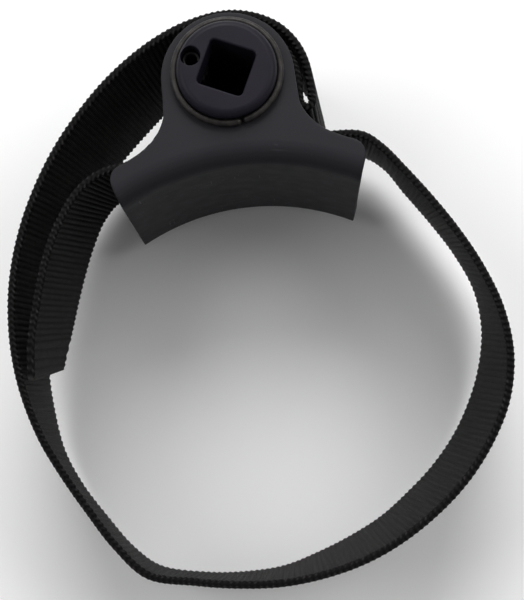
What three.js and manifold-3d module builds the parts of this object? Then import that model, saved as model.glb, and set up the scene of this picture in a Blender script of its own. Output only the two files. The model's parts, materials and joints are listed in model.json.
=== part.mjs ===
// Strap wrench for truck oil filters: a pressed steel bracket, a square-drive spindle that
// winds a nylon strap, two wire snap rings, a slotted spring pin and the strap itself.
// Millimetres. +Z runs up the spindle axis, the bracket is symmetric about the YZ plane, and
// the filter sits in the strap loop on the -Y side of the spindle.

import * as THREE from 'three'
import { mergeVertices } from 'three/addons/utils/BufferGeometryUtils.js'
import Module from 'manifold-3d'

const wasm = await Module()
wasm.setup()

// ---- driving dimensions ----

const GAP = 0.3                    // running gap between touching pieces
const BRACKET_HEIGHT = 60          // over the outer faces of the two ears
const SHEET = 3                    // steel sheet of the bracket
const HEAD_PROUD = 4.8             // spindle standing out beyond each ear
const SADDLE_R = 68.5              // concave face that meets the filter
const SADDLE_CENTRE_Y = -93.6      // filter axis, seen from the spindle axis
const SADDLE_HALF_ANGLE = 28.6     // degrees either side of the symmetry plane
const BEND_R = 5.5                 // outer radius of the ear-to-web bend
const EAR_R = 18.2                 // round top of an ear
const EAR_CENTRE_Y = -0.9          // centre of that round
const HORN_X = 34.9                // tip of a horn
const HORN_Y = -25.6
const SPINDLE_R = 13.65
const BARREL_R = 12.9              // strap seat between the ears
const HEAD_ROUND = 2.2             // rounding of the spindle's two end edges
const DRIVE_SIDE = 12.9            // half-inch square drive, with its clearance
const DRIVE_CORNER = 1.3
const DRIVE_TURN = -25.2           // degrees the drive square stands from the bracket's axes
const RING_WIRE_R = 1.0
const RING_MID_R = 14.4
const RING_GAP_DEG = 12
const UPPER_RING_OPEN = 306        // where each ring's gap stands, in degrees
const LOWER_RING_OPEN = 120
const PIN_AT = 10.3                // spring pin's distance from the spindle axis
const PIN_R = 2.4
const PIN_HOLE_R = 2.7
const PIN_WALL = 0.75
const PIN_SUNK = 3.5               // its ends, below the spindle's end faces
const PIN_SLIT = 12                // half of the pin's slit, in degrees
const WINDOW_WIDE = 9.8            // window in the spindle that the strap's eye sits in
const WINDOW_START = 5.2           // from the spindle axis, so it opens into the drive square
const WINDOW_DEEP = 10
const WINDOW_HALF_ANGLE = 24       // the wound strap keeps clear of the window's edges
const EYE_R = 4.1                  // strap eye drawn tight round the pin
const STRAP_WIDTH = 50
const STRAP_THICK = 2
const STRAP_BASE = 8.3             // lower edge of the strap between the ears

const HEAD_TOP = HEAD_PROUD * 2 + BRACKET_HEIGHT
const LOWER_EAR = HEAD_PROUD
const UPPER_EAR = HEAD_PROUD + BRACKET_HEIGHT
const RAD = Math.PI / 180
const CUT_PAST = 5                 // cutters run out past the faces that they cut

// ---- materials ----

const paint = new THREE.MeshStandardMaterial({ color: 0x37363b, roughness: 0.5, metalness: 0.3 })
const blued = new THREE.MeshStandardMaterial({ color: 0x2d2b34, roughness: 0.42, metalness: 0.5 })
const wire = new THREE.MeshStandardMaterial({ color: 0x5a5654, roughness: 0.35, metalness: 0.9 })
const pinSteel = new THREE.MeshStandardMaterial({ color: 0x2a292c, roughness: 0.5, metalness: 0.7 })
const webbing = new THREE.MeshStandardMaterial({ color: 0x1b1a1b, roughness: 0.9, metalness: 0 })

// ---- solids ----

function toSolid(geometry) {
  const bare = geometry.index ? geometry.toNonIndexed() : geometry.clone()
  bare.deleteAttribute('normal')
  bare.deleteAttribute('uv')
  const merged = mergeVertices(bare, 1e-4)
  const vertProperties = new Float32Array(merged.attributes.position.array)
  const triVerts = new Uint32Array(merged.index.array)
  return new wasm.Manifold(new wasm.Mesh({ numProp: 3, vertProperties, triVerts }))
}

function toGeometry(solid) {
  const mesh = solid.getMesh()
  const geometry = new THREE.BufferGeometry()
  geometry.setAttribute('position', new THREE.BufferAttribute(mesh.vertProperties, mesh.numProp))
  geometry.setIndex(new THREE.BufferAttribute(mesh.triVerts, 1))
  geometry.computeVertexNormals()
  return geometry
}

function named(name, geometry, material) {
  const mesh = new THREE.Mesh(geometry, material)
  mesh.name = name
  return mesh
}

// A shape in the XY plane, raised from z = low to z = high.
function prism(shape, low, high, curveSegments = 24) {
  const geometry = new THREE.ExtrudeGeometry(shape, {
    depth: high - low, bevelEnabled: false, curveSegments,
  })
  return geometry.translate(0, 0, low)
}

// A half profile [radius, z] turned about the Z axis.
function turned(profile, segments) {
  const points = profile.map(([r, z]) => new THREE.Vector2(r, z))
  return new THREE.LatheGeometry(points, segments).rotateX(Math.PI / 2)
}

function quarter(cx, cz, r, from, to, steps) {
  const points = []
  for (let i = 0; i <= steps; i++) {
    const a = (from + (to - from) * i / steps) * RAD
    points.push([cx + r * Math.cos(a), cz + r * Math.sin(a)])
  }
  return points
}

function disc(radius, x = 0, y = 0) {
  const shape = new THREE.Shape()
  shape.absarc(x, y, radius, 0, Math.PI * 2, false)
  return shape
}

// ---- bracket ----

// Cross-section of the channel, [distance from the filter axis, z]: two ears and the web.
function channelProfile() {
  const bendInner = BEND_R - SHEET
  const bendMid = SADDLE_R + BEND_R
  const reach = 130
  return [
    [reach, LOWER_EAR],
    ...quarter(bendMid, LOWER_EAR + BEND_R, BEND_R, 270, 180, 6),
    ...quarter(bendMid, UPPER_EAR - BEND_R, BEND_R, 180, 90, 6),
    [reach, UPPER_EAR],
    [reach, UPPER_EAR - SHEET],
    ...quarter(bendMid, UPPER_EAR - BEND_R, bendInner, 90, 180, 4),
    ...quarter(bendMid, LOWER_EAR + BEND_R, bendInner, 180, 270, 4),
    [reach, LOWER_EAR + SHEET],
    [reach, LOWER_EAR],
  ].reverse()
}

// Outline of the pressed blank seen along the spindle: round top, neck, two horns.
function earOutline() {
  const end = SADDLE_HALF_ANGLE * RAD
  const inside = SADDLE_R - SHEET
  const saddleEnd = [inside * Math.sin(end), SADDLE_CENTRE_Y + inside * Math.cos(end)]
  const tipLow = [HORN_X - 0.7, HORN_Y - 2.6]
  const tip = [HORN_X, HORN_Y]
  const tipHigh = [HORN_X - 0.4, HORN_Y + 2.4]
  const shoulder = [HORN_X - 3.4, HORN_Y + 3.6]
  const slope = [HORN_X - 9, HORN_Y + 5.8]
  const flare = [EAR_R + 2.2, HORN_Y + 9]
  const neck = [EAR_R + 0.3, EAR_CENTRE_Y - 9]
  const left = ([x, y]) => [-x, y]
  const shape = new THREE.Shape()
  shape.moveTo(...saddleEnd)
  shape.lineTo(...tipLow)
  shape.bezierCurveTo(...tip, ...tipHigh, ...shoulder)
  shape.bezierCurveTo(...slope, ...flare, ...neck)
  shape.lineTo(EAR_R, EAR_CENTRE_Y)
  shape.absarc(0, EAR_CENTRE_Y, EAR_R, 0, Math.PI, false)
  shape.lineTo(...left(neck))
  shape.bezierCurveTo(...left(flare), ...left(slope), ...left(shoulder))
  shape.bezierCurveTo(...left(tipHigh), ...left(tip), ...left(tipLow))
  shape.lineTo(...left(saddleEnd))
  shape.closePath()
  return shape
}

function makeBracket() {
  const channel = toSolid(turned(channelProfile(), 300).translate(0, SADDLE_CENTRE_Y, 0))
  const blank = toSolid(prism(earOutline(), -CUT_PAST, HEAD_TOP + CUT_PAST, 16))
  const bearing = toSolid(prism(disc(SPINDLE_R + GAP), -CUT_PAST, HEAD_TOP + CUT_PAST, 30))
  return named('bracket', toGeometry(channel.intersect(blank).subtract(bearing)), paint)
}

// ---- spindle, in its own axes: the pin and its window are on -x ----

function squareShape(side, corner) {
  const h = side / 2
  const shape = new THREE.Shape()
  shape.moveTo(h, -h + corner)
  shape.lineTo(h, h - corner)
  shape.absarc(h - corner, h - corner, corner, 0, Math.PI / 2, false)
  shape.lineTo(-h + corner, h)
  shape.absarc(-h + corner, h - corner, corner, Math.PI / 2, Math.PI, false)
  shape.lineTo(-h, -h + corner)
  shape.absarc(-h + corner, -h + corner, corner, Math.PI, Math.PI * 1.5, false)
  shape.lineTo(h - corner, -h)
  shape.absarc(h - corner, -h + corner, corner, Math.PI * 1.5, Math.PI * 2, false)
  return shape
}

// Half profile of the spindle: rounded ends and a groove for a snap ring beyond each ear.
function spindleProfile() {
  const grooveR = RING_MID_R - RING_WIRE_R - GAP
  const half = RING_WIRE_R + GAP
  const end = SPINDLE_R - HEAD_ROUND
  const groove = (z) => [
    [SPINDLE_R, z - half],
    [grooveR, z - half],
    [grooveR, z + half],
    [SPINDLE_R, z + half],
  ]
  return [
    [0, 0],
    ...quarter(end, HEAD_ROUND, HEAD_ROUND, 270, 360, 5),
    ...groove(LOWER_EAR - RING_WIRE_R - GAP),
    [SPINDLE_R, LOWER_EAR + SHEET],
    [BARREL_R, LOWER_EAR + SHEET],
    [BARREL_R, UPPER_EAR - SHEET],
    [SPINDLE_R, UPPER_EAR - SHEET],
    ...groove(UPPER_EAR + RING_WIRE_R + GAP),
    ...quarter(end, HEAD_TOP - HEAD_ROUND, HEAD_ROUND, 0, 90, 5),
    [0, HEAD_TOP],
  ]
}

function makeSpindle() {
  const barrel = toSolid(turned(spindleProfile(), 60))
  const square = squareShape(DRIVE_SIDE, DRIVE_CORNER)
  const drive = toSolid(prism(square, -CUT_PAST, HEAD_TOP + CUT_PAST, 4))
  const pinHole = toSolid(prism(disc(PIN_HOLE_R, -PIN_AT), -CUT_PAST, HEAD_TOP + CUT_PAST, 12))
  const windowHigh = BRACKET_HEIGHT - 2 * SHEET - 2 * GAP
  const window = new THREE.BoxGeometry(WINDOW_DEEP, WINDOW_WIDE, windowHigh)
  window.translate(-WINDOW_START - WINDOW_DEEP / 2, 0, HEAD_TOP / 2)
  const solid = barrel.subtract(drive).subtract(pinHole).subtract(toSolid(window))
  return named('drive_spindle', toGeometry(solid), blued)
}

// Slotted spring pin: a rolled tube whose slit faces the drive square.
function makePin() {
  const slit = PIN_SLIT * RAD
  const shape = new THREE.Shape()
  shape.absarc(0, 0, PIN_R, slit, Math.PI * 2 - slit, false)
  shape.absarc(0, 0, PIN_R - PIN_WALL, Math.PI * 2 - slit, slit, true)
  const pin = named('spring_pin', prism(shape, PIN_SUNK, HEAD_TOP - PIN_SUNK, 10), pinSteel)
  pin.position.set(-PIN_AT, 0, 0)
  return pin
}

function makeSnapRing(name, z, openAt) {
  const start = (openAt + RING_GAP_DEG / 2) * RAD
  const sweep = (360 - RING_GAP_DEG) * RAD
  class RingPath extends THREE.Curve {
    getPoint(t) {
      const a = start + sweep * t
      return new THREE.Vector3(RING_MID_R * Math.cos(a), RING_MID_R * Math.sin(a), 0)
    }
  }
  const section = new THREE.Shape()
  section.absarc(0, 0, RING_WIRE_R, 0, Math.PI * 2, false)
  const geometry = new THREE.ExtrudeGeometry(section, {
    steps: 56, curveSegments: 4, extrudePath: new RingPath(), bevelEnabled: false,
  })
  const ring = named(name, geometry, wire)
  ring.position.z = z
  return ring
}

// ---- strap ----

// The sewn eye at the strap's end: it wraps the pin inside the spindle's window.
function makeAnchorEye() {
  const shape = disc(EYE_R, -PIN_AT)
  shape.holes.push(new THREE.Path().absarc(-PIN_AT, 0, PIN_R + GAP, 0, Math.PI * 2, true))
  return named('strap_anchor_eye', prism(shape, STRAP_BASE, STRAP_BASE + STRAP_WIDTH, 10), webbing)
}

// First turn of the strap, lying on the spindle between the two edges of its window.
function makeInnerTurn() {
  const low = BARREL_R + GAP
  const high = low + STRAP_THICK
  const window = WINDOW_HALF_ANGLE * RAD
  const shape = new THREE.Shape()
  shape.absarc(0, 0, high, -Math.PI + window, Math.PI - window, false)
  shape.absarc(0, 0, low, Math.PI - window, -Math.PI + window, true)
  return named('strap_inner_turn', prism(shape, STRAP_BASE, STRAP_BASE + STRAP_WIDTH, 40), webbing)
}

// Route of the rest of the strap. Each station gives the lower edge's x, y and the upper
// edge's x, y at the middle of the thickness, so the strap may lean between them.
const FOLD_ROUTE = [
  [-17.0, -1.5, -17.0, -1.5],
  [-15.9, 6.2, -15.9, 6.2],
  [-12.6, 11.5, -12.6, 11.5],
  [-7.6, 15.4, -7.6, 15.4],
  [0, 17.0, 0, 17.0],
  [7.3, 15.5, 7.3, 15.4],
  [12.6, 12.5, 12.3, 12.3],
  [16.4, 8.4, 15.9, 8.4],
  [19.0, 3.0, 18.2, 3.4],
  [20.1, -2.6, 19.0, -2.0],
  [20.5, -6.6, 18.9, -6.8],
  [21.2, -9.2, 19.3, -8.9],
  [23.4, -10.2, 20.6, -9.8],
  [25.6, -8.6, 22.0, -8.9],
  [26.4, -3.6, 22.3, -5.4],
  [25.9, 2.0, 22.0, 0.4],
  [24.2, 7.6, 20.9, 5.6],
  [21.3, 12.3, 18.6, 10.3],
  [16.9, 16.4, 14.9, 14.5],
  [10.9, 18.9, 9.7, 17.6],
  [4.2, 20.0, 3.6, 19.3],
]
const LOOP_ROUTE = [
  [-2.6, 19.7, -2.6, 19.3],
  [-12.0, 16.0, -12.6, 16.9],
  [-20.9, 9.9, -22.5, 12.1],
  [-30.0, 2.0, -32.6, 4.8],
  [-38.0, -5.7, -40.7, -3.1],
  [-46.1, -14.4, -48.6, -12.7],
  [-52.8, -23.2, -54.6, -22.3],
  [-58.9, -33.6, -59.8, -33.3],
  [-63.5, -45.1, -63.5, -45.1],
  [-65.9, -56.3, -65.3, -56.3],
  [-66.8, -68.5, -65.6, -68.6],
  [-66.4, -80.2, -64.2, -79.8],
  [-64.6, -93.0, -60.9, -91.6],
  [-60.2, -104.0, -56.2, -101.8],
  [-53.6, -114.8, -50.2, -112.6],
  [-46.3, -124.6, -44.1, -122.4],
  [-36.5, -132.1, -35.3, -130.3],
  [-24.5, -135.2, -24.1, -134.2],
  [-12.6, -136.3, -12.7, -136.2],
  [-0.7, -135.8, -0.9, -137.1],
  [10.4, -132.8, 11.0, -136.1],
  [20.9, -128.9, 22.4, -133.4],
  [30.6, -124.2, 33.0, -128.8],
  [39.8, -117.7, 43.2, -122.3],
  [48.0, -110.8, 51.8, -114.8],
  [55.4, -102.5, 59.4, -105.2],
  [61.0, -93.7, 64.6, -95.1],
  [65.7, -83.0, 66.9, -83.4],
  [68.3, -70.7, 65.7, -71.3],
  [67.3, -58.2, 62.1, -60.4],
  [62.7, -46.6, 56.9, -49.6],
  [56.6, -35.9, 50.9, -39.6],
]
const CHANNEL_ROUTE = [
  [49.9, -25.6, 44.4, -30.2],
  [44.4, -17.0, 39.4, -23.6],
  [38.4, -12.6, 34.6, -19.6],
  [29.6, -13.0, 26.4, -18.5],
  [20.0, -15.9, 17.6, -18.8],
  [9.6, -17.6, 8.2, -18.7],
  [-0.6, -17.9, -1.2, -18.4],
  [-10.8, -17.6, -11.0, -18.2],
  [-20.6, -16.3, -20.4, -18.4],
  [-30.2, -15.6, -29.6, -20.4],
  [-39.2, -17.8, -38.0, -21.9],
]
const TAIL_ROUTE = [
  [-44.8, -23.2, -44.3, -26.0],
  [-49.0, -31.0, -49.2, -32.4],
  [-52.4, -39.4, -53.0, -39.4],
  [-55.4, -48.0, -56.0, -47.4],
  [-58.2, -56.6, -58.4, -56.0],
  [-61.3, -65.4, -60.9, -66.4],
  [-62.2, -68.4, -61.8, -76.4],
]
const ROUTE = [...FOLD_ROUTE, ...LOOP_ROUTE, ...CHANNEL_ROUTE, ...TAIL_ROUTE]

// Between the ears the strap stands on the lower one; the free loop sags onto the ground.
function strapLift(y) {
  const t = THREE.MathUtils.clamp((-45 - y) / 90, 0, 1)
  return STRAP_BASE * (1 - t * t * (3 - 2 * t))
}

function edgeCurve(column) {
  const points = ROUTE.map((row) => new THREE.Vector3(row[column], row[column + 1], 0))
  return new THREE.CatmullRomCurve3(points, false, 'centripetal')
}

const LOWER_EDGE = edgeCurve(0)
const UPPER_EDGE = edgeCurve(2)
const LAST_STATION = ROUTE.length - 1

// Point of the strap at a station, a height w from 0 to 1 and an offset across its thickness.
function strapPoint(station, w, offset) {
  const t = THREE.MathUtils.clamp(station / LAST_STATION, 0, 1)
  const lower = LOWER_EDGE.getPoint(t)
  const upper = UPPER_EDGE.getPoint(t)
  const along = LOWER_EDGE.getTangent(t).add(UPPER_EDGE.getTangent(t))
  const side = new THREE.Vector3(along.y, -along.x, 0).normalize()
  const point = lower.clone().lerp(upper, w).addScaledVector(side, offset)
  const lift = strapLift((lower.y + upper.y) / 2)
  return point.setZ(lift + w * STRAP_WIDTH)
}

// A length of strap between two stations: a box bent along the route.
function makeStrapRun(name, from, to, segments) {
  const geometry = new THREE.BoxGeometry(1, 1, 1, segments, 1, 1)
  const position = geometry.attributes.position
  for (let i = 0; i < position.count; i++) {
    const station = from + (to - from) * (position.getX(i) + 0.5)
    const across = -position.getY(i) * STRAP_THICK
    const point = strapPoint(station, position.getZ(i) + 0.5, across)
    position.setXYZ(i, point.x, point.y, point.z)
  }
  geometry.computeVertexNormals()
  return named(name, geometry, webbing)
}

// ---- assembly ----

const spindleGroup = new THREE.Group()
spindleGroup.rotation.z = DRIVE_TURN * RAD
spindleGroup.add(makeSpindle())
spindleGroup.add(makePin())
spindleGroup.add(makeAnchorEye())
spindleGroup.add(makeInnerTurn())
spindleGroup.add(makeSnapRing('upper_snap_ring', UPPER_EAR + RING_WIRE_R + GAP, UPPER_RING_OPEN))
spindleGroup.add(makeSnapRing('lower_snap_ring', LOWER_EAR - RING_WIRE_R - GAP, LOWER_RING_OPEN))

// The strap is cut into runs at these stations.
const SEAM = 0.03                  // part of a station left open between two runs
const loopStart = FOLD_ROUTE.length - 0.5
const farEndStart = loopStart + 15
const farEndStop = farEndStart + 10
const channelStart = FOLD_ROUTE.length + LOOP_ROUTE.length + 0.5
const tailStart = channelStart + CHANNEL_ROUTE.length - 1

const tool = new THREE.Group()
tool.add(makeBracket())
tool.add(spindleGroup)
tool.add(makeStrapRun('strap_slack_fold', 0, loopStart, 62))
tool.add(makeStrapRun('strap_loop_left', loopStart + SEAM, farEndStart, 40))
tool.add(makeStrapRun('strap_loop_far_end', farEndStart + SEAM, farEndStop, 28))
tool.add(makeStrapRun('strap_loop_right', farEndStop + SEAM, channelStart, 28))
tool.add(makeStrapRun('strap_channel_run', channelStart + SEAM, tailStart, 28))
tool.add(makeStrapRun('strap_free_tail', tailStart + SEAM, LAST_STATION, 16))

// The origin is the middle of the footprint, on the ground.
const bounds = new THREE.Box3().setFromObject(tool, true)
const middle = bounds.getCenter(new THREE.Vector3())
tool.position.set(-middle.x, -middle.y, -bounds.min.z)
tool.updateMatrixWorld(true)

export default tool
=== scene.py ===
"""Looks of the strap oil filter wrench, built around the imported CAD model.

Everything is in the row frame. Lengths in the tables and constants below are millimetres and
are turned into metres by MM where a mesh is made.
"""

import json
import math

import bmesh
import bpy
import numpy as np
from mathutils import Matrix, Vector


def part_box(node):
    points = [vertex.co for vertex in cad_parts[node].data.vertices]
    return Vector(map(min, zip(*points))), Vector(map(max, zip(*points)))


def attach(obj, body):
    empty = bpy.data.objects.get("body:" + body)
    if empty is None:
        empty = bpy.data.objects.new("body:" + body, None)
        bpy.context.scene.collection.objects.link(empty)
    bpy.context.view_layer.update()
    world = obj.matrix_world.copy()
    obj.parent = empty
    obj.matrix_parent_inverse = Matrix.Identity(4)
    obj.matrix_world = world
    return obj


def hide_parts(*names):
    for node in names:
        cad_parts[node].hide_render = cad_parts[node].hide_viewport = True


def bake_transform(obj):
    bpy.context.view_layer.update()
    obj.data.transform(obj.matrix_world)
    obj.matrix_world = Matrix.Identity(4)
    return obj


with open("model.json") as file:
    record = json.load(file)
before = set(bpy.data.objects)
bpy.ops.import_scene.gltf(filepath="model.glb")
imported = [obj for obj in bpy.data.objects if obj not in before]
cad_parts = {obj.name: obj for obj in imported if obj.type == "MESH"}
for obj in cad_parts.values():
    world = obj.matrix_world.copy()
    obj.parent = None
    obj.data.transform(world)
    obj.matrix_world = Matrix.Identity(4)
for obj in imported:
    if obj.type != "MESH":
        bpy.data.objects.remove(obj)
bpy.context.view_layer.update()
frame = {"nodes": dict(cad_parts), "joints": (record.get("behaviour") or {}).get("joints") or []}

MM = 0.001
RAD = math.pi / 180

# ---- places taken from the frame ----

HINGE = next(j for j in frame["joints"] if j["name"] == "spindle_turn")
AXIS_X, AXIS_Y = HINGE["pos_m"][0] / MM, HINGE["pos_m"][1] / MM
HEAD_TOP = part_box("drive_spindle")[1].z / MM
LOWER_EAR, UPPER_EAR = (corner.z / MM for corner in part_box("bracket"))
STRAP_LOW, STRAP_HIGH = (corner.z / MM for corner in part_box("strap_inner_turn"))
STRAP_WIDTH = STRAP_HIGH - STRAP_LOW

# ---- sizes, in millimetres ----

SHEET = 3.0
SPINDLE_R = 13.65
BARREL_R = 12.9
HEAD_ROUND = 2.2
DRIVE_SIDE = 12.9
DRIVE_CORNER = 1.3
DRIVE_TURN = -25.2                  # degrees the drive square stands from the bracket's axes
PIN_AT = 10.3
PIN_R = 2.4
PIN_HOLE_R = 2.7
PIN_WALL = 0.75
PIN_SLIT = 12                       # half of the slit, in degrees
PIN_SUNK = 3.5                      # below the spindle's end faces
RING_WIRE_R = 1.0
RING_MID_R = 14.4
RING_GAP = 2                        # degrees left open
RING_OPEN_AT = {"upper": 306, "lower": 120}
CLEAR = 0.3                         # running gap between touching pieces
SOFT_EDGE = 0.08                    # broken edges of the turned spindle
DRIVE_MOUTH = 0.55                  # rounding of the drive square's mouths
HOLE_MOUTH = 0.3
PAINT_VOXEL = 0.4                   # grain of the remesh that rounds the bracket's edges
PAINT_ROUNDING = 6                  # smoothing passes after it
WINDOW = (5.2, 10.0, 9.8)           # from the axis, depth and width

RIB_PITCH = 1.62
ROWS_PER_RIB = 6                    # an even number puts a row on each crest and in each groove
FACE_COLUMNS = 14
EDGE_COLUMNS = 7
WEB_HALF = 0.78                     # half thickness in the bottom of a rib's groove
RIB_HEIGHT = 0.30
EDGE_R = 0.95
EDGE_DIP = 0.32                     # how far the selvedge sinks between two bumps
EDGE_BUMP = 0.62
EDGE_FLAT = 0.5                     # height left between a selvedge's two rows of bumps
TOP_SLANT = 0.6                     # lean of a bump round the edge, in ribs
BOTTOM_SLANT = 0.15
YARN_PITCH = 1.15                   # of the yarn crowns along a rib
MELT_REACH = 1.0                    # of the heat-cut end
EYE_R = 3.4                         # middle of the sewn eye round the pin
TURN_R = 14.2                       # middle of the turn wound on the spindle
STITCH = 2.6
STITCH_STEP = 3.4
THREAD_R = 0.26
STRAP_SAG = (-45.0, 90.0)           # where the loop starts to sag, and over what length

# The strap droops away from the bracket, so its ribs lean: (station, distance along the strap by
# which a rib's lower end leads its upper end).
RIB_LEAN = [(0, 0), (21, 0), (24, -5), (31, -5), (38, 0), (44, 0), (48, 6.5), (50, 8), (52, 6),
            (55, 2), (59, 0), (63, -5), (65, -7.5), (69, -7.2), (70, 0)]

# The strap's route, [lower edge x, y, upper edge x, y] from the spindle axis, at mid thickness.
FOLD_ROUTE = [
    [-17.0, -1.5, -17.0, -1.5],
    [-15.9, 6.2, -15.9, 6.2],
    [-12.6, 11.5, -12.6, 11.5],
    [-7.6, 15.4, -7.6, 15.4],
    [0, 17.0, 0, 17.0],
    [7.3, 15.5, 7.3, 15.4],
    [12.6, 12.5, 12.3, 12.3],
    [16.4, 8.4, 15.9, 8.4],
    [19.0, 3.0, 18.2, 3.4],
    [20.1, -2.6, 19.0, -2.0],
    [20.5, -6.6, 18.9, -6.8],
    [21.2, -9.2, 19.3, -8.9],
    [23.4, -10.2, 20.6, -9.8],
    [25.6, -8.6, 22.0, -8.9],
    [26.4, -3.6, 22.3, -5.4],
    [25.9, 2.0, 22.0, 0.4],
    [24.2, 7.6, 20.9, 5.6],
    [21.3, 12.3, 18.6, 10.3],
    [16.9, 16.4, 14.9, 14.5],
    [10.9, 18.9, 9.7, 17.6],
    [4.2, 20.0, 3.6, 19.3],
]
LOOP_ROUTE = [
    [-2.6, 19.7, -2.6, 19.3],
    [-12.0, 16.0, -12.6, 16.9],
    [-20.9, 9.9, -22.5, 12.1],
    [-30.0, 2.0, -32.6, 4.8],
    [-38.0, -5.7, -40.7, -3.1],
    [-46.1, -14.4, -48.6, -12.7],
    [-52.8, -23.2, -54.6, -22.3],
    [-58.9, -33.6, -59.8, -33.3],
    [-63.5, -45.1, -63.5, -45.1],
    [-65.9, -56.3, -65.3, -56.3],
    [-66.8, -68.5, -65.6, -68.6],
    [-66.4, -80.2, -64.2, -79.8],
    [-64.6, -93.0, -60.9, -91.6],
    [-60.2, -104.0, -56.2, -101.8],
    [-53.6, -114.8, -50.2, -112.6],
    [-46.4, -124.9, -44.0, -122.6],
    [-38.6, -131.6, -36.2, -131.1],
    [-24.5, -135.2, -24.1, -134.2],
    [-12.6, -136.3, -12.7, -136.2],
    [-0.7, -135.8, -0.9, -137.1],
    [10.4, -132.8, 11.0, -136.1],
    [20.9, -128.9, 22.4, -133.4],
    [30.6, -124.2, 33.0, -128.8],
    [39.8, -117.7, 43.2, -122.3],
    [48.0, -110.8, 51.8, -114.8],
    [55.4, -102.5, 59.4, -105.2],
    [61.0, -93.7, 64.6, -95.1],
    [65.7, -83.0, 66.9, -83.4],
    [68.3, -70.7, 65.7, -71.3],
    [67.3, -58.2, 62.1, -60.4],
    [62.7, -46.6, 56.9, -49.6],
    [56.6, -35.9, 50.9, -39.6],
]
CHANNEL_ROUTE = [
    [49.9, -25.6, 44.4, -30.2],
    [44.4, -17.0, 39.4, -23.6],
    [38.4, -12.6, 34.6, -19.6],
    [29.6, -13.0, 26.4, -18.5],
    [20.0, -15.9, 17.6, -18.8],
    [9.6, -17.6, 8.2, -18.7],
    [-0.6, -17.9, -1.2, -18.4],
    [-10.8, -17.6, -11.0, -18.2],
    [-20.6, -16.3, -20.4, -18.4],
    [-30.2, -15.6, -29.6, -20.4],
    [-39.2, -17.8, -38.0, -21.9],
]
TAIL_ROUTE = [
    [-44.8, -23.2, -44.3, -26.0],
    [-49.0, -31.0, -49.2, -32.4],
    [-52.4, -39.4, -53.0, -39.4],
    [-55.4, -48.0, -56.0, -47.4],
    [-58.2, -56.6, -58.4, -56.0],
    [-61.3, -65.4, -60.9, -66.4],
    [-62.2, -68.4, -61.8, -76.4],
]
ROUTE = np.array(FOLD_ROUTE + LOOP_ROUTE + CHANNEL_ROUTE + TAIL_ROUTE, float)
BETWEEN_EARS = 6.0                  # stations into the channel, where the looks' strap is parted
SPLIT_STATION = len(FOLD_ROUTE) + len(LOOP_ROUTE) + BETWEEN_EARS
SAMPLES_PER_STATION = 40


# ---- camera, light and floor ----

CAMERA_AT = (6.74, -57.2, 403.3)
CAMERA_AHEAD = (-0.0147, 0.1538, -0.9880)
CAMERA_RIGHT = (0.9934, -0.1103, -0.0320)
CAMERA_LENS = 78
WORLD_LIGHT = 0.32
FLOOR_SIZE = 6                      # metres
FLOOR_DROP = 0.4                    # keeps the floor just under the strap's lowest bumps

# Softboxes: (name, place in metres, diameter in metres, watts).
SOFTBOXES = [
    ("key", (0.1, 1.15, 1.05), 1.0, 17),
    ("left", (-1.15, 0.35, 1.25), 1.0, 8),
    ("right", (1.15, 0.30, 1.25), 1.0, 8),
]
SOFTBOX_TARGET = (0, 0.02, 0.03)


def make_camera():
    """Looks nearly straight down, leaning a little from the saddle's side."""
    ahead = Vector(CAMERA_AHEAD).normalized()
    right = Vector(CAMERA_RIGHT)
    right = (right - ahead * right.dot(ahead)).normalized()
    up = right.cross(ahead)
    turn = Matrix((right, up, -ahead)).transposed().to_4x4()
    data = bpy.data.cameras.new("camera")
    data.lens = CAMERA_LENS
    data.sensor_width = 36
    data.clip_start = 0.01
    camera = bpy.data.objects.new("camera", data)
    camera.matrix_world = Matrix.Translation(Vector(CAMERA_AT) * MM) @ turn
    bpy.context.scene.collection.objects.link(camera)
    bpy.context.scene.camera = camera


def softbox(name, place, size, power):
    data = bpy.data.lights.new(name, "AREA")
    data.shape = "DISK"
    data.size = size
    data.energy = power
    light = bpy.data.objects.new(name, data)
    light.location = place
    aim = Vector(SOFTBOX_TARGET) - Vector(place)
    light.rotation_euler = aim.to_track_quat("-Z", "Y").to_euler()
    bpy.context.scene.collection.objects.link(light)


def make_studio():
    scene = bpy.context.scene
    scene.view_settings.view_transform = "Standard"
    world = bpy.data.worlds.new("studio")
    world.use_nodes = True
    background = world.node_tree.nodes["Background"]
    background.inputs["Color"].default_value = (1, 1, 1, 1)
    background.inputs["Strength"].default_value = WORLD_LIGHT
    scene.world = world
    for box in SOFTBOXES:
        softbox(*box)
    bpy.ops.mesh.primitive_plane_add(size=FLOOR_SIZE, location=(0, 0, -FLOOR_DROP * MM))
    floor = bpy.context.object
    floor.name = "floor"
    paper = bpy.data.materials.new("paper")
    paper.use_nodes = True
    shader = paper.node_tree.nodes["Principled BSDF"]
    shader.inputs["Base Color"].default_value = (0.95, 0.95, 0.95, 1)
    shader.inputs["Roughness"].default_value = 0.9
    shader.inputs["Specular IOR Level"].default_value = 0.1
    floor.data.materials.append(paper)


# ---- mesh helpers ----

def link_mesh(name, mesh):
    obj = bpy.data.objects.new(name, mesh)
    bpy.context.scene.collection.objects.link(obj)
    return obj


def mesh_from(name, points, faces):
    """A smooth-shaded mesh from points in millimetres."""
    mesh = bpy.data.meshes.new(name)
    mesh.from_pydata((np.asarray(points, float) * MM).tolist(), [], faces)
    mesh.polygons.foreach_set("use_smooth", [True] * len(mesh.polygons))
    mesh.update()
    return link_mesh(name, mesh)


def face_outwards(obj):
    work = bmesh.new()
    work.from_mesh(obj.data)
    bmesh.ops.recalc_face_normals(work, faces=work.faces)
    if work.calc_volume(signed=True) < 0:
        bmesh.ops.reverse_faces(work, faces=work.faces)
    work.to_mesh(obj.data)
    work.free()


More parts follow.
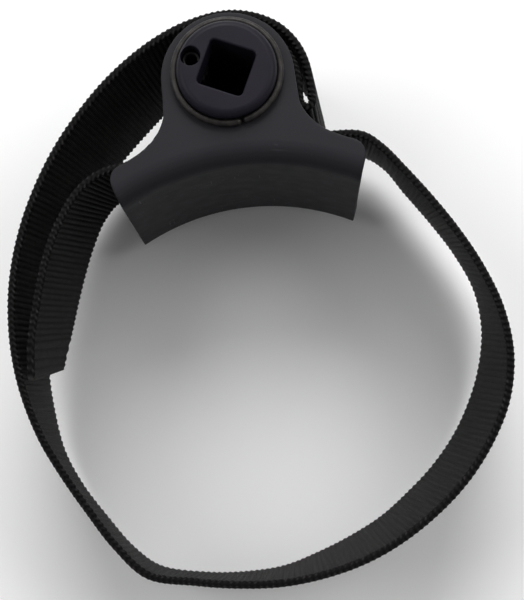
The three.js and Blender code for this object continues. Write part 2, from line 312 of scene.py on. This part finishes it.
def settle(obj):
    """Applies every modifier, so that the mesh is what is seen."""
    graph = bpy.context.evaluated_depsgraph_get()
    mesh = bpy.data.meshes.new_from_object(obj.evaluated_get(graph))
    obj.modifiers.clear()
    obj.data = mesh


def grid_faces(rows, columns, close_rows=False):
    """Quads of a grid whose columns close on themselves."""
    faces = []
    for r in range(rows if close_rows else rows - 1):
        below, above = r * columns, (r + 1) % rows * columns
        for c in range(columns):
            d = (c + 1) % columns
            faces.append((below + c, below + d, above + d, above + c))
    return faces


def lathe(name, profile, segments):
    """A profile of (radius, z) turned about the Z axis. It starts and ends on the axis or closes."""
    on_axis = profile[0][0] == 0
    rings = profile[1:-1] if on_axis else profile
    points = []
    for radius, z in rings:
        for i in range(segments):
            a = 2 * math.pi * i / segments
            points.append((radius * math.cos(a), radius * math.sin(a), z))
    faces = grid_faces(len(rings), segments, close_rows=not on_axis)
    if on_axis:
        faces.append(tuple(range(segments)))
        faces.append(tuple(range(len(points) - segments, len(points))))
    obj = mesh_from(name, points, faces)
    face_outwards(obj)
    return obj


def arc(cx, cz, radius, start, stop, steps):
    """Points along an arc between two angles in degrees."""
    turns = [(start + (stop - start) * i / steps) * RAD for i in range(steps + 1)]
    return [(cx + radius * math.cos(a), cz + radius * math.sin(a)) for a in turns]


def prism(name, outlines):
    """A loft through (z, outline) pairs, each outline with the same number of points."""
    points = [(x, y, z) for z, outline in outlines for x, y in outline]
    columns = len(outlines[0][1])
    faces = grid_faces(len(outlines), columns)
    faces.append(tuple(range(columns)))
    faces.append(tuple(range(len(points) - columns, len(points))))
    obj = mesh_from(name, points, faces)
    face_outwards(obj)
    return obj


def rounded_square(side, corner, steps=6):
    """Outline of a square with round corners."""
    inner = side / 2 - corner
    outline = []
    for k, (sx, sy) in enumerate(((1, 1), (-1, 1), (-1, -1), (1, -1))):
        outline += arc(sx * inner, sy * inner, corner, 90 * k, 90 * k + 90, steps)
    return outline


def circle(radius, cx, steps=48):
    """Outline of a circle centred on the X axis."""
    turns = [2 * math.pi * i / steps for i in range(steps)]
    return [(cx + radius * math.cos(a), radius * math.sin(a)) for a in turns]


def through_cutter(name, outline, grow):
    """A cutter through the whole spindle whose two mouths are rounded outwards by grow."""
    steps = 5
    mouth = []
    for i in range(steps + 1):
        a = 90 * RAD * i / steps
        mouth.append((grow * (1 - math.cos(a)), grow * (1 - math.sin(a))))
    low = [(z, outline(wide)) for z, wide in mouth]
    low.insert(0, (-1, outline(grow)))
    high = [(HEAD_TOP - z, ring) for z, ring in reversed(low)]
    return prism(name, low + high)


def cut(obj, cutters):
    """Takes each cutter out of the object, and deletes the cutter."""
    for cutter in cutters:
        modifier = obj.modifiers.new("cut", "BOOLEAN")
        modifier.operation = "DIFFERENCE"
        modifier.solver = "MANIFOLD"
        modifier.object = cutter
        bpy.context.view_layer.update()
        settle(obj)
        bpy.data.objects.remove(cutter)


def shade(obj, sharp_angle):
    """Smooth shading that keeps edges sharper than the angle, with flat faces kept flat."""
    obj.data.polygons.foreach_set("use_smooth", [True] * len(obj.data.polygons))
    obj.data.set_sharp_from_angle(angle=sharp_angle * RAD)
    obj.modifiers.new("normals", "WEIGHTED_NORMAL").keep_sharp = True


def to_spindle(obj):
    """Moves a mesh from the spindle's own axes to its place in the row frame."""
    place = Matrix.Translation((AXIS_X * MM, AXIS_Y * MM, 0))
    obj.data.transform(place @ Matrix.Rotation(DRIVE_TURN * RAD, 4, "Z"))


# ---- materials ----

class Nodes:
    """Short names for building one material's node tree."""

    def __init__(self, name):
        self.material = bpy.data.materials.new(name)
        self.material.use_nodes = True
        self.tree = self.material.node_tree
        self.shader = self.tree.nodes["Principled BSDF"]
        self.place = self.add("ShaderNodeTexCoord").outputs["Object"]

    def add(self, kind, **inputs):
        node = self.tree.nodes.new(kind)
        for key, value in inputs.items():
            self.put(node.inputs[key.replace("_", " ")], value)
        return node

    def put(self, socket, value):
        if isinstance(value, bpy.types.NodeSocket):
            self.tree.links.new(value, socket)
        else:
            socket.default_value = value

    def set(self, **inputs):
        for key, value in inputs.items():
            self.put(self.shader.inputs[key.replace("_", " ")], value)

    def math(self, operation, a, b=None, c=None, clamp=False):
        node = self.tree.nodes.new("ShaderNodeMath")
        node.operation = operation
        node.use_clamp = clamp
        for socket, value in zip(node.inputs, (a, b, c)):
            if value is not None:
                self.put(socket, value)
        return node.outputs[0]

    def noise(self, scale, detail=3.0, vector=None, roughness=0.5):
        node = self.add("ShaderNodeTexNoise", Scale=scale, Detail=detail, Roughness=roughness)
        self.put(node.inputs["Vector"], self.place if vector is None else vector)
        return node.outputs["Fac"]

    def stretched(self, scale, turn=(0, 0, 0)):
        node = self.add("ShaderNodeMapping", Scale=scale, Rotation=turn)
        self.put(node.inputs["Vector"], self.place)
        return node.outputs["Vector"]

    def span(self, value, low, high, to_low=0.0, to_high=1.0):
        node = self.add("ShaderNodeMapRange")
        node.interpolation_type = "SMOOTHSTEP"
        self.put(node.inputs["Value"], value)
        for key, number in zip(("From Min", "From Max", "To Min", "To Max"),
                               (low, high, to_low, to_high)):
            self.put(node.inputs[key], number)
        return node.outputs["Result"]

    def mix(self, factor, a, b):
        node = self.tree.nodes.new("ShaderNodeMix")
        node.data_type = "RGBA"
        self.put(node.inputs["Factor"], factor)
        self.put(node.inputs[6], (*a, 1) if isinstance(a, tuple) else a)
        self.put(node.inputs[7], (*b, 1) if isinstance(b, tuple) else b)
        return node.outputs[2]

    def bump(self, height, distance, strength=1.0, onto=None):
        node = self.add("ShaderNodeBump", Strength=strength, Distance=distance)
        self.put(node.inputs["Height"], height)
        if onto is not None:
            self.put(node.inputs["Normal"], onto)
        return node.outputs["Normal"]

    def attribute(self, name):
        node = self.tree.nodes.new("ShaderNodeAttribute")
        node.attribute_name = name
        return node.outputs["Fac"]


def scratches(n, scale, turn, threshold):
    """Sparse fine streaks that run along the mapping's stretched direction."""
    streak = n.noise(1.0, 2.0, n.stretched(scale, turn))
    patch = n.noise(55.0, 2.0)
    line = n.span(streak, threshold, threshold + 0.02)
    return n.math("MULTIPLY", line, n.span(patch, 0.47, 0.56))


def paint_material():
    """Satin dark grey paint, scuffed where the filter bears on the saddle."""
    n = Nodes("bracket_paint")
    cloud = n.noise(38.0, 4.0)
    grain = n.noise(1400.0, 3.0)
    body = n.mix(n.span(cloud, 0.35, 0.65), (0.0186, 0.0181, 0.0219), (0.0199, 0.0193, 0.0233))
    body = n.mix(n.span(grain, 0.60, 0.80, 0.0, 0.10), body, (0.034, 0.033, 0.038))
    level = n.math("MAXIMUM",
                   scratches(n, (60, 60, 2600), (0, 0.12, 0), 0.700),
                   scratches(n, (260, 260, 2300), (0.3, -0.55, 0), 0.705))
    level = n.math("MAXIMUM", level, scratches(n, (1900, 1900, 110), (0, 0.5, 0), 0.700))
    height = n.add("ShaderNodeSeparateXYZ", Vector=n.place).outputs["Z"]
    saddle = n.span(height, (UPPER_EAR - 6.0) * MM, (UPPER_EAR - 3.0) * MM, 1.0, 0.12)
    level = n.math("MULTIPLY", level, saddle)
    body = n.mix(n.math("MULTIPLY", level, 0.85), body, (0.120, 0.120, 0.125))
    edge = n.span(n.add("ShaderNodeNewGeometry").outputs["Pointiness"], 0.53, 0.60, 0.0, 0.22)
    body = n.mix(n.math("MULTIPLY", edge, n.span(cloud, 0.3, 0.6)), body, (0.085, 0.082, 0.085))
    n.set(Base_Color=body, Specular_IOR_Level=0.13)
    n.set(Roughness=n.span(n.noise(220.0, 3.0), 0.3, 0.7, 0.51, 0.57))
    fine = n.bump(grain, 0.00003, 0.55)
    n.set(Normal=n.bump(level, 0.00004, 0.5, fine))
    return n.material


def spindle_material():
    """Satin blued steel with faint turning marks round the spindle's axis."""
    n = Nodes("spindle_steel")
    shift = n.add("ShaderNodeVectorMath")
    shift.operation = "SUBTRACT"
    n.put(shift.inputs[0], n.place)
    shift.inputs[1].default_value = (AXIS_X * MM, AXIS_Y * MM, 0)
    flat = n.add("ShaderNodeVectorMath")
    flat.operation = "MULTIPLY"
    n.put(flat.inputs[0], shift.outputs[0])
    flat.inputs[1].default_value = (1, 1, 0)
    reach = n.add("ShaderNodeVectorMath")
    reach.operation = "LENGTH"
    n.put(reach.inputs[0], flat.outputs[0])
    turned = n.noise(2600.0, 2.0, reach.outputs["Value"])
    cloud = n.noise(95.0, 4.0)
    body = n.mix(n.span(cloud, 0.35, 0.68), (0.0088, 0.0080, 0.0130), (0.0112, 0.0100, 0.0158))
    speck = n.noise(2300.0, 2.0)
    body = n.mix(n.span(speck, 0.66, 0.78, 0.0, 0.5), body, (0.04, 0.037, 0.042))
    n.set(Base_Color=body, Specular_IOR_Level=0.13)
    n.set(Roughness=n.span(cloud, 0.3, 0.7, 0.40, 0.52))
    rings = n.bump(turned, 0.00002, 0.35)
    n.set(Normal=n.bump(speck, 0.00002, 0.3, rings))
    return n.material


def steel_material(name, dark, light, roughness, metallic):
    """Oiled spring steel with fine drawing marks."""
    n = Nodes(name)
    cloud = n.noise(420.0, 4.0)
    drawn = n.noise(1.0, 3.0, n.stretched((2200, 2200, 320)))
    body = n.mix(n.span(cloud, 0.35, 0.65), dark, light)
    n.set(Base_Color=body, Metallic=metallic, Specular_IOR_Level=0.5)
    n.set(Roughness=n.span(drawn, 0.3, 0.7, roughness - 0.07, roughness + 0.1))
    n.set(Normal=n.bump(drawn, 0.00003, 0.5))
    return n.material


def webbing_material():
    """Ribbed nylon: yarn crowns along each rib, in a chequer from rib to rib, with painted shade in
    each rib's groove and painted glints on the raised crowns.
    """
    n = Nodes("webbing")
    along = n.attribute("along")
    across = n.attribute("across")
    edge = n.attribute("selvedge")
    crest = n.attribute("crest")
    melt = n.attribute("melt")
    rib = n.math("DIVIDE", along, RIB_PITCH)
    row = n.math("FLOOR", n.math("ADD", rib, 0.5))
    yarn = n.math("ADD", n.math("DIVIDE", across, YARN_PITCH), n.math("MULTIPLY", row, 0.5))
    crown = n.math("ABSOLUTE", n.math("COSINE", n.math("MULTIPLY", yarn, math.pi)))
    face = n.math("SUBTRACT", 1.0, edge)
    height = n.math("MULTIPLY", n.math("POWER", crown, 0.7), crest)
    raised = n.math("ADD", n.math("MULTIPLY", height, face), n.math("MULTIPLY", crest, edge))
    fibre = n.noise(1.0, 3.0, n.stretched((4200, 4200, 4200)))
    wide = n.noise(60.0, 3.0)
    yarns = n.noise(1.0, 1.0, n.stretched((700, 700, 700)))
    dark, light = (0.0048, 0.0045, 0.0047), (0.0084, 0.0077, 0.0078)
    body = n.mix(n.span(wide, 0.3, 0.7), dark, light)
    # Painted shade: the bottom of each rib's groove is darkened almost to black.
    body = n.mix(n.span(crest, 0.35, 0.97, 0.93, 0.0), body, (0.0009, 0.0008, 0.0008))
    glint = n.math("MULTIPLY", n.span(raised, 0.62, 0.95), n.span(yarns, 0.42, 0.66))
    body = n.mix(n.math("MULTIPLY", glint, 0.7), body, (0.034, 0.031, 0.032))
    body = n.mix(n.math("MULTIPLY", melt, n.span(fibre, 0.2, 0.6, 0.45, 1.0)), body,
                 (0.026, 0.024, 0.023))
    n.set(Base_Color=body, Specular_IOR_Level=0.12)
    n.set(Roughness=n.span(fibre, 0.3, 0.7, 0.55, 0.80))
    woven = n.bump(n.math("MULTIPLY", height, face), 0.00030, 0.75)
    n.set(Normal=n.bump(fibre, 0.00008, 0.6, woven))
    return n.material


def thread_material():
    """Twisted sewing thread."""
    n = Nodes("thread")
    ply = n.noise(1.0, 2.0, n.stretched((900, 900, 3600), (0, 0.5, 0)))
    n.set(Base_Color=n.mix(n.span(ply, 0.4, 0.6), (0.010, 0.010, 0.010), (0.034, 0.032, 0.031)))
    n.set(Roughness=0.7, Specular_IOR_Level=0.3)
    n.set(Normal=n.bump(ply, 0.00010, 0.7))
    return n.material


# ---- webbing ----

def curve_points(stations, column):
    """Centripetal Catmull-Rom through the route's stations, at fractional station numbers."""
    knots = ROUTE[:, column:column + 2]
    knots = np.vstack([2 * knots[0] - knots[1], knots, 2 * knots[-1] - knots[-2]])
    first = np.clip(np.floor(stations).astype(int), 0, len(ROUTE) - 2)
    part = (stations - first)[:, None]
    p0, p1, p2, p3 = (knots[first + k] for k in range(4))
    d0, d1, d2 = (np.sqrt(np.linalg.norm(b - a, axis=1))[:, None]
                  for a, b in ((p0, p1), (p1, p2), (p2, p3)))
    t1 = ((p1 - p0) / d0 - (p2 - p0) / (d0 + d1) + (p2 - p1) / d1) * d1
    t2 = ((p2 - p1) / d1 - (p3 - p1) / (d1 + d2) + (p3 - p2) / d2) * d1
    c2 = -3 * p1 + 3 * p2 - 2 * t1 - t2
    c3 = 2 * p1 - 2 * p2 + t1 + t2
    return p1 + t1 * part + c2 * part ** 2 + c3 * part ** 3


def even_rows(lower, upper, lean, start_run):
    """Puts rows on every rib's crest and groove. Returns both edges and the distance run."""
    middle = (lower + upper) / 2
    run = np.concatenate([[0], np.cumsum(np.linalg.norm(np.diff(middle, axis=0), axis=1))])
    step = RIB_PITCH / ROWS_PER_RIB
    at = np.arange(step - start_run % step, run[-1] - 0.05, step)
    at = np.concatenate([[0], at, [run[-1]]])
    led = np.clip(at + np.interp(at, run, lean), 0, run[-1])

    def pick(values, places):
        return np.column_stack([np.interp(places, run, values[:, k]) for k in (0, 1)])

    return pick(lower, led), pick(upper, at), at


def section_places():
    """The webbing's outline: (place across the width, which face, angle round an edge)."""
    places = []
    inner = np.linspace(EDGE_R, STRAP_WIDTH - EDGE_R, FACE_COLUMNS)
    turns = (np.arange(EDGE_COLUMNS) + 1) * math.pi / (EDGE_COLUMNS + 1)
    places += [("face", w, 1.0) for w in inner]
    places += [("top", STRAP_WIDTH - EDGE_R, a) for a in turns]
    places += [("face", w, -1.0) for w in inner[::-1]]
    places += [("bottom", EDGE_R, a) for a in turns]
    return places


def braid(phase, kind, turn):
    """Height of a selvedge's bumps at one angle round it: two rows, half a rib apart."""
    lobe = EDGE_FLAT + (1 - EDGE_FLAT) * abs(math.sin(2 * turn)) ** 0.6
    slant = (TOP_SLANT if kind == "top" else BOTTOM_SLANT) * math.cos(turn)
    shift = slant + (0.0 if turn < math.pi / 2 else 0.5)
    return lobe * np.abs(np.cos(np.pi * (phase + shift)))


def webbing(name, lower, upper, lean, lift, start_run, thin=None, melted=False):
    """One length of ribbed webbing standing on edge. Edges in millimetres from the row's origin."""
    lower, upper, run = even_rows(lower, upper, lean, start_run)
    count = len(run)
    along = np.gradient(lower, axis=0) + np.gradient(upper, axis=0)
    along /= np.linalg.norm(along, axis=1)[:, None]
    side = np.column_stack([along[:, 1], -along[:, 0]])
    phase = (run + start_run) / RIB_PITCH
    ridge = np.abs(np.cos(np.pi * phase))
    half = WEB_HALF + RIB_HEIGHT * ridge
    scale = np.ones(count) if thin is None else thin(run)
    melt = np.zeros(count)
    if melted:
        from_end = run[-1] - run
        scale = scale * (0.72 + 0.28 * np.sqrt(np.clip(from_end / 0.9, 0, 1)))
        melt = np.clip(1 - from_end / MELT_REACH, 0, 1)
    z_low = lift((lower[:, 1] + upper[:, 1]) / 2)
    columns, across, edges, crests = [], [], [], []
    for kind, place, value in section_places():
        if kind == "face":
            width = np.full(count, place)
            offset = value * half * scale
            crest = ridge
        else:
            sign = 1.0 if kind == "top" else -1.0
            crest = braid(phase, kind, value)
            radius = EDGE_R - EDGE_DIP + EDGE_BUMP * crest
            width = place + sign * radius * math.sin(value)
            offset = sign * radius * math.cos(value) * 1.05 * scale
        share = (width / STRAP_WIDTH)[:, None]
        ground = lower + (upper - lower) * share + side * offset[:, None]
        columns.append(np.column_stack([ground, z_low + width]))
        across.append(width + (0 if value == 1.0 else 0.4))
        edges.append(np.full(count, 0.0 if kind == "face" else 1.0))
        crests.append(crest)
    points = np.stack(columns, axis=1).reshape(-1, 3)
    width_count = len(columns)
    faces = grid_faces(count, width_count)
    faces.append(tuple(range(width_count)))
    faces.append(tuple(range(len(points) - width_count, len(points))))
    obj = mesh_from(name, points, faces)
    values = {
        "along": np.repeat(run + start_run, width_count),
        "across": np.stack(across, axis=1).ravel(),
        "selvedge": np.stack(edges, axis=1).ravel(),
        "crest": np.stack(crests, axis=1).ravel(),
        "melt": np.repeat(melt, width_count),
    }
    for key, numbers in values.items():
        attribute = obj.data.attributes.new(key, "FLOAT", "POINT")
        attribute.data.foreach_set("value", numbers.astype(np.float32))
    face_outwards(obj)
    obj.data.materials.append(MATERIALS["webbing"])
    return obj, float(run[-1])


def loop_lift(y):
    """Height of the lower edge: on the lower ear near the bracket, on the ground at the far end."""
    start, reach = STRAP_SAG
    t = np.clip((start - (y - AXIS_Y)) / reach, 0, 1)
    return STRAP_LOW * (1 - t * t * (3 - 2 * t))


def level_lift(y):
    """Height of the lower edge where the strap stands level."""
    return np.full(len(y), STRAP_LOW)


def route_edges(first, last):
    """Both edges of the route between two stations, and the lean of its ribs."""
    stations = np.linspace(first, last, int((last - first) * SAMPLES_PER_STATION))
    centre = np.array([AXIS_X, AXIS_Y])
    lean = np.interp(stations, *zip(*RIB_LEAN))
    return curve_points(stations, 0) + centre, curve_points(stations, 2) + centre, lean


def make_strap():
    """The strap from the spindle's slack fold round the loop, and its tail behind the bracket."""
    last = len(ROUTE) - 1.0
    loop, length = webbing("strap_loop", *route_edges(0.0, SPLIT_STATION), loop_lift, 0.0)
    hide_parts("strap_slack_fold", "strap_loop_left", "strap_loop_far_end",
                "strap_loop_right")
    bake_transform(loop)
    tail, rest = webbing("strap_tail", *route_edges(SPLIT_STATION, last), loop_lift, length,
                         melted=True)
    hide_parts("strap_channel_run", "strap_free_tail")
    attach(tail, "root")


def make_anchor():
    """The strap's sewn end: an eye round the pin, then one turn on the spindle."""
    eye_step = 3                    # degrees between the eye's points
    eye = [(-PIN_AT + EYE_R * math.cos(a * RAD), EYE_R * math.sin(a * RAD))
           for a in np.arange(470, 165, -eye_step)]
    eye_run = len(eye) * eye_step * RAD * EYE_R

    def reach(a):
        """Distance from the axis. The turn's last 25 degrees lift off towards the fold."""
        return TURN_R + 0.9 * max(0.0, (-125 - a) / 25) ** 2

    def thin(run):
        """Share of the full thickness: the eye is drawn tight, and the turn is not."""
        return 0.70 + 0.26 * np.clip((run - eye_run) / 5, 0, 1)

    wound = [(reach(a) * math.cos(a * RAD), reach(a) * math.sin(a * RAD))
             for a in np.arange(156, -151, -1.5)]
    path = np.array(eye + wound)
    turn = DRIVE_TURN * RAD
    spin = np.array([[math.cos(turn), math.sin(turn)], [-math.sin(turn), math.cos(turn)]])
    edge = path @ spin + np.array([AXIS_X, AXIS_Y])
    upright = np.zeros(len(edge))
    obj, length = webbing("strap_anchor", edge, edge, upright, level_lift, 0.0, thin)
    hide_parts("strap_anchor_eye", "strap_inner_turn")
    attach(obj, "spindle")


def make_stitching():
    """Two lines of lock stitches that close the eye round the pin."""
    points, faces = [], []
    steps, sides = 7, 8
    lines = (2.4, 4.0)
    count = int((STRAP_WIDTH - 6) / STITCH_STEP)
    for line in lines:
        for k in range(count):
            z = STRAP_LOW + 4 + STITCH_STEP * k
            first = len(points)
            for s in range(steps):
                bend = math.sin(math.pi * s / (steps - 1))
                for i in range(sides):
                    a = 2 * math.pi * i / sides
                    r = THREAD_R * (0.35 + 0.65 * bend)
                    wall = -14.28 + 0.13 * (line - lines[0])
                    points.append((wall - 0.30 * bend + r * math.cos(a),
                                   line + r * math.sin(a), z + STITCH * s / (steps - 1)))
            faces += [tuple(first + v for v in f) for f in grid_faces(steps, sides)]
            faces.append(tuple(range(first, first + sides)))
            faces.append(tuple(range(len(points) - sides, len(points))))
    obj = mesh_from("anchor_stitching", points, faces)
    face_outwards(obj)
    to_spindle(obj)
    obj.data.materials.append(MATERIALS["thread"])
    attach(obj, "spindle")


# ---- metal pieces ----

def make_bracket():
    """The pressed bracket with its sheared edges rounded and its flats very slightly uneven."""
    mesh = frame["nodes"]["bracket"].data.copy()
    obj = link_mesh("bracket_pressing", mesh)
    obj.data.materials.clear()
    work = bmesh.new()
    work.from_mesh(mesh)
    bmesh.ops.remove_doubles(work, verts=work.verts, dist=1e-6)
    work.to_mesh(mesh)
    work.free()
    remesh = obj.modifiers.new("even", "REMESH")
    remesh.mode = "VOXEL"
    remesh.voxel_size = PAINT_VOXEL * MM
    smooth = obj.modifiers.new("round", "SMOOTH")
    smooth.factor = 0.5
    smooth.iterations = PAINT_ROUNDING
    bpy.context.view_layer.update()
    settle(obj)
    obj.data.polygons.foreach_set("use_smooth", [True] * len(obj.data.polygons))
    obj.data.materials.append(MATERIALS["paint"])
    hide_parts("bracket")
    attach(obj, "root")


def spindle_profile():
    """Half outline of the spindle: two heads with ring grooves, and the barrel between them."""
    groove_r = RING_MID_R - RING_WIRE_R - CLEAR
    half = RING_WIRE_R + CLEAR
    soft = SOFT_EDGE
    end = SPINDLE_R - HEAD_ROUND

    def groove(z):
        return [(SPINDLE_R, z - half - soft), (SPINDLE_R - soft, z - half),
                (groove_r, z - half), (groove_r, z + half),
                (SPINDLE_R - soft, z + half), (SPINDLE_R, z + half + soft)]

    lower = arc(end, HEAD_ROUND, HEAD_ROUND, 270, 360, 12)
    lower += groove(LOWER_EAR - RING_WIRE_R - CLEAR)
    lower += [(SPINDLE_R, LOWER_EAR + SHEET - soft), (BARREL_R, LOWER_EAR + SHEET + soft)]
    upper = [(r, HEAD_TOP - z) for r, z in reversed(lower)]
    return [(0, 0), *lower, *upper, (0, HEAD_TOP)]


def make_spindle():
    """The turned spindle with its drive square, pin hole and window."""
    obj = lathe("spindle_body", spindle_profile(), 180)
    start, depth, width = WINDOW
    high = UPPER_EAR - LOWER_EAR - 2 * SHEET - 2 * CLEAR
    rim = [(-start, -width / 2), (-start, width / 2),
           (-start - depth, width / 2), (-start - depth, -width / 2)]
    window = prism("window", [(HEAD_TOP / 2 - high / 2, rim), (HEAD_TOP / 2 + high / 2, rim)])
    drive = through_cutter(
        "drive",
        lambda grow: rounded_square(DRIVE_SIDE + 2 * grow, DRIVE_CORNER + grow),
        DRIVE_MOUTH,
    )
    hole = through_cutter("hole", lambda grow: circle(PIN_HOLE_R + grow, -PIN_AT), HOLE_MOUTH)
    cut(obj, [drive, hole, window])
    shade(obj, 32)
    to_spindle(obj)
    obj.data.materials.clear()
    obj.data.materials.append(MATERIALS["spindle"])
    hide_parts("drive_spindle")
    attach(obj, "spindle")


def make_pin():
    """The slotted spring pin."""
    inner, soft = PIN_R - PIN_WALL, 0.2
    low, high = PIN_SUNK, HEAD_TOP - PIN_SUNK
    profile = [
        (inner + soft, low), (PIN_R - soft, low), (PIN_R, low + soft), (PIN_R, high - soft),
        (PIN_R - soft, high), (inner + soft, high), (inner, high - soft), (inner, low + soft),
    ]
    obj = lathe("spring_pin_tube", profile, 72)
    half = inner * math.sin(PIN_SLIT * RAD)
    slot = [(0, -half), (2 * PIN_R, -half), (2 * PIN_R, half), (0, half)]
    cut(obj, [prism("slit", [(low - 1, slot), (high + 1, slot)])])
    shade(obj, 35)
    obj.data.transform(Matrix.Translation((-PIN_AT * MM, 0, 0)))
    to_spindle(obj)
    obj.data.materials.clear()
    obj.data.materials.append(MATERIALS["pin"])
    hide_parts("spring_pin")
    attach(obj, "spindle")


def make_ring(which, z):
    """A wire ring whose two ends are rounded off."""
    steps, sides = 200, 20
    start = (RING_OPEN_AT[which] + RING_GAP / 2) * RAD
    sweep = (360 - RING_GAP) * RAD
    reach = RING_WIRE_R / RING_MID_R
    points = []
    for s in range(steps + 1):
        a = start + sweep * s / steps
        from_end = min(a - start, start + sweep - a)
        share = min(1.0, from_end / reach)
        radius = RING_WIRE_R * math.sqrt(max(0.12, 1 - (1 - share) ** 2))
        for i in range(sides):
            b = 2 * math.pi * i / sides
            out = RING_MID_R + radius * math.cos(b)
            points.append((out * math.cos(a), out * math.sin(a), z + radius * math.sin(b)))
    faces = grid_faces(steps + 1, sides)
    faces.append(tuple(range(sides)))
    faces.append(tuple(range(len(points) - sides, len(points))))
    obj = mesh_from(which + "_ring_wire", points, faces)
    face_outwards(obj)
    to_spindle(obj)
    obj.data.materials.append(MATERIALS["wire"])
    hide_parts(which + "_snap_ring")
    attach(obj, "spindle")


# ---- everything ----

make_camera()
make_studio()
MATERIALS = {
    "paint": paint_material(),
    "spindle": spindle_material(),
    "pin": steel_material("pin_steel", (0.012, 0.011, 0.012), (0.034, 0.032, 0.032), 0.45, 0.6),
    "wire": steel_material("ring_wire", (0.011, 0.0096, 0.0092), (0.026, 0.0225, 0.0210), 0.44, 0.5),
    "webbing": webbing_material(),
    "thread": thread_material(),
}
make_bracket()
make_spindle()
make_pin()
make_ring("upper", UPPER_EAR + RING_WIRE_R + CLEAR)
make_ring("lower", LOWER_EAR - RING_WIRE_R - CLEAR)
make_strap()
make_anchor()
make_stitching()
